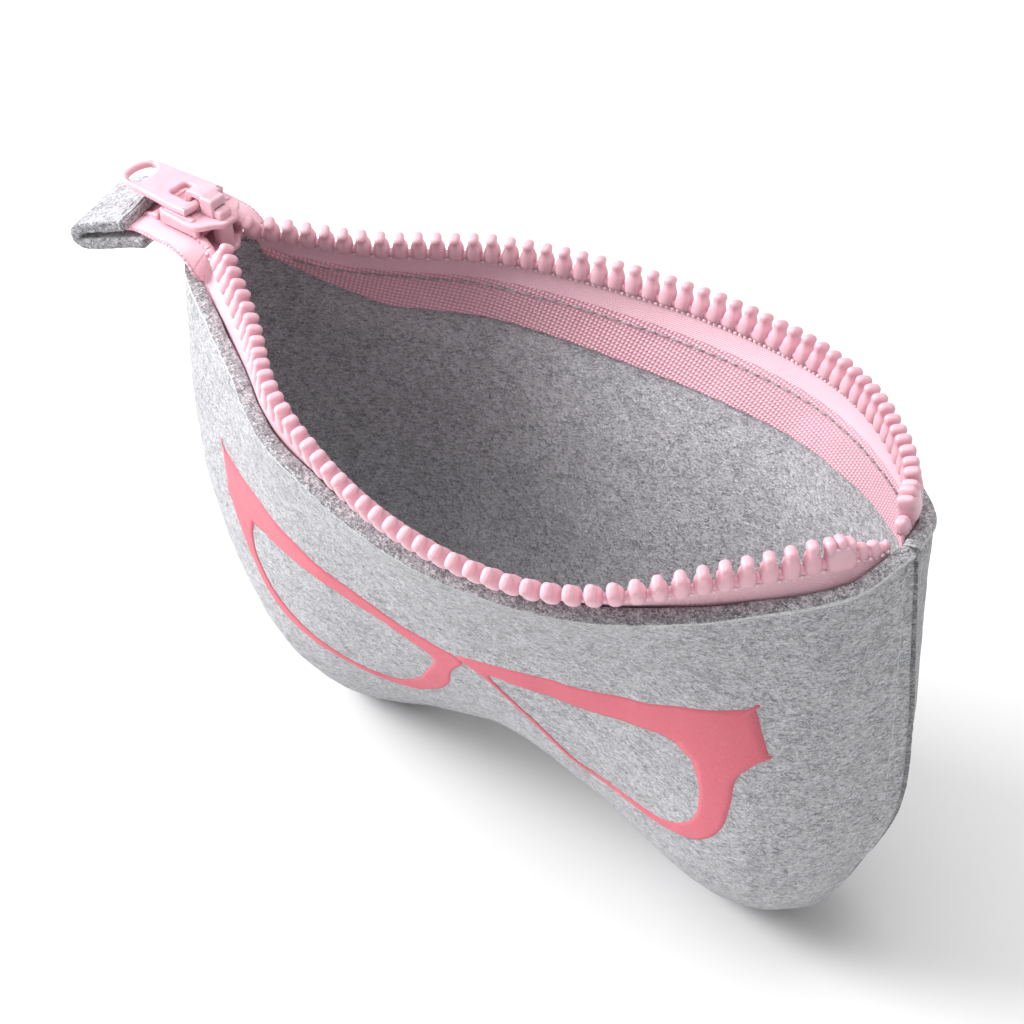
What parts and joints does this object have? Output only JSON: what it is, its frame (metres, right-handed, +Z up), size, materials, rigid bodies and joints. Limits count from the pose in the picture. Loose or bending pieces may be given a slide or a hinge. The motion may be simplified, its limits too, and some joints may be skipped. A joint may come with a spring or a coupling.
{
  "type": "zip pouch for glasses",
  "caption": "Soft felt pouch for a pair of glasses, with a coarse moulded-tooth zip across its mouth, a slider with a pull, a folded end tab and a printed frame motif.",
  "frame": {"origin": "on the surface that the pouch stands on, under the middle of the box of the whole object", "axes": "+X along the zip from the end tab towards the open end, +Z up, and -Y out of the printed front"},
  "size_m": [0.2059, 0.0978, 0.1182],
  "materials": {
    "grey_felt": "thick pressed wool-mix felt, light grey with darker and lighter fibres",
    "printed_ink": "matte coral pink screen print on felt",
    "zip_tape": "pale pink woven polyester tape",
    "zip_plastic": "pale pink moulded acetal, satin",
    "sewing_thread": "grey sewing thread"
  },
  "bodies": {
    "case": {"front_felt_panel": "grey_felt", "rear_felt_panel": "grey_felt", "front_print": "printed_ink", "front_zip_tape": "zip_tape", "rear_zip_tape": "zip_tape", "front_tape_cord": "zip_tape", "rear_tape_cord": "zip_tape", "front_teeth": "zip_plastic", "rear_teeth": "zip_plastic", "front_top_stop": "zip_plastic", "rear_top_stop": "zip_plastic", "bottom_stop": "zip_plastic", "end_tab_felt": "grey_felt", "end_tab_stitching": "sewing_thread", "front_tape_stitching": "sewing_thread", "rear_tape_stitching": "sewing_thread", "seam_stitching": "sewing_thread"},
    "slider": {"slider_body": "zip_plastic", "slider_crown": "zip_plastic"},
    "pull": {"pull_tab": "zip_plastic"}
  },
  "joints": [
    {"name": "slider_travel", "type": "slide", "parent": "case", "child": "slider", "axis": [1, 0, 0], "range_m": [0, 0.162], "deforming": ["front_felt_panel", "rear_felt_panel", "front_print", "front_zip_tape", "rear_zip_tape", "front_tape_cord", "rear_tape_cord", "front_teeth", "rear_teeth", "front_top_stop", "rear_top_stop", "front_tape_stitching", "rear_tape_stitching"]},
    {"name": "pull_tab_swing", "type": "hinge", "parent": "slider", "child": "pull", "pos_m": [-0.0752, 0.0013, 0.1155], "axis": [0, 1, 0], "range_deg": [0, 170]}
  ]
}
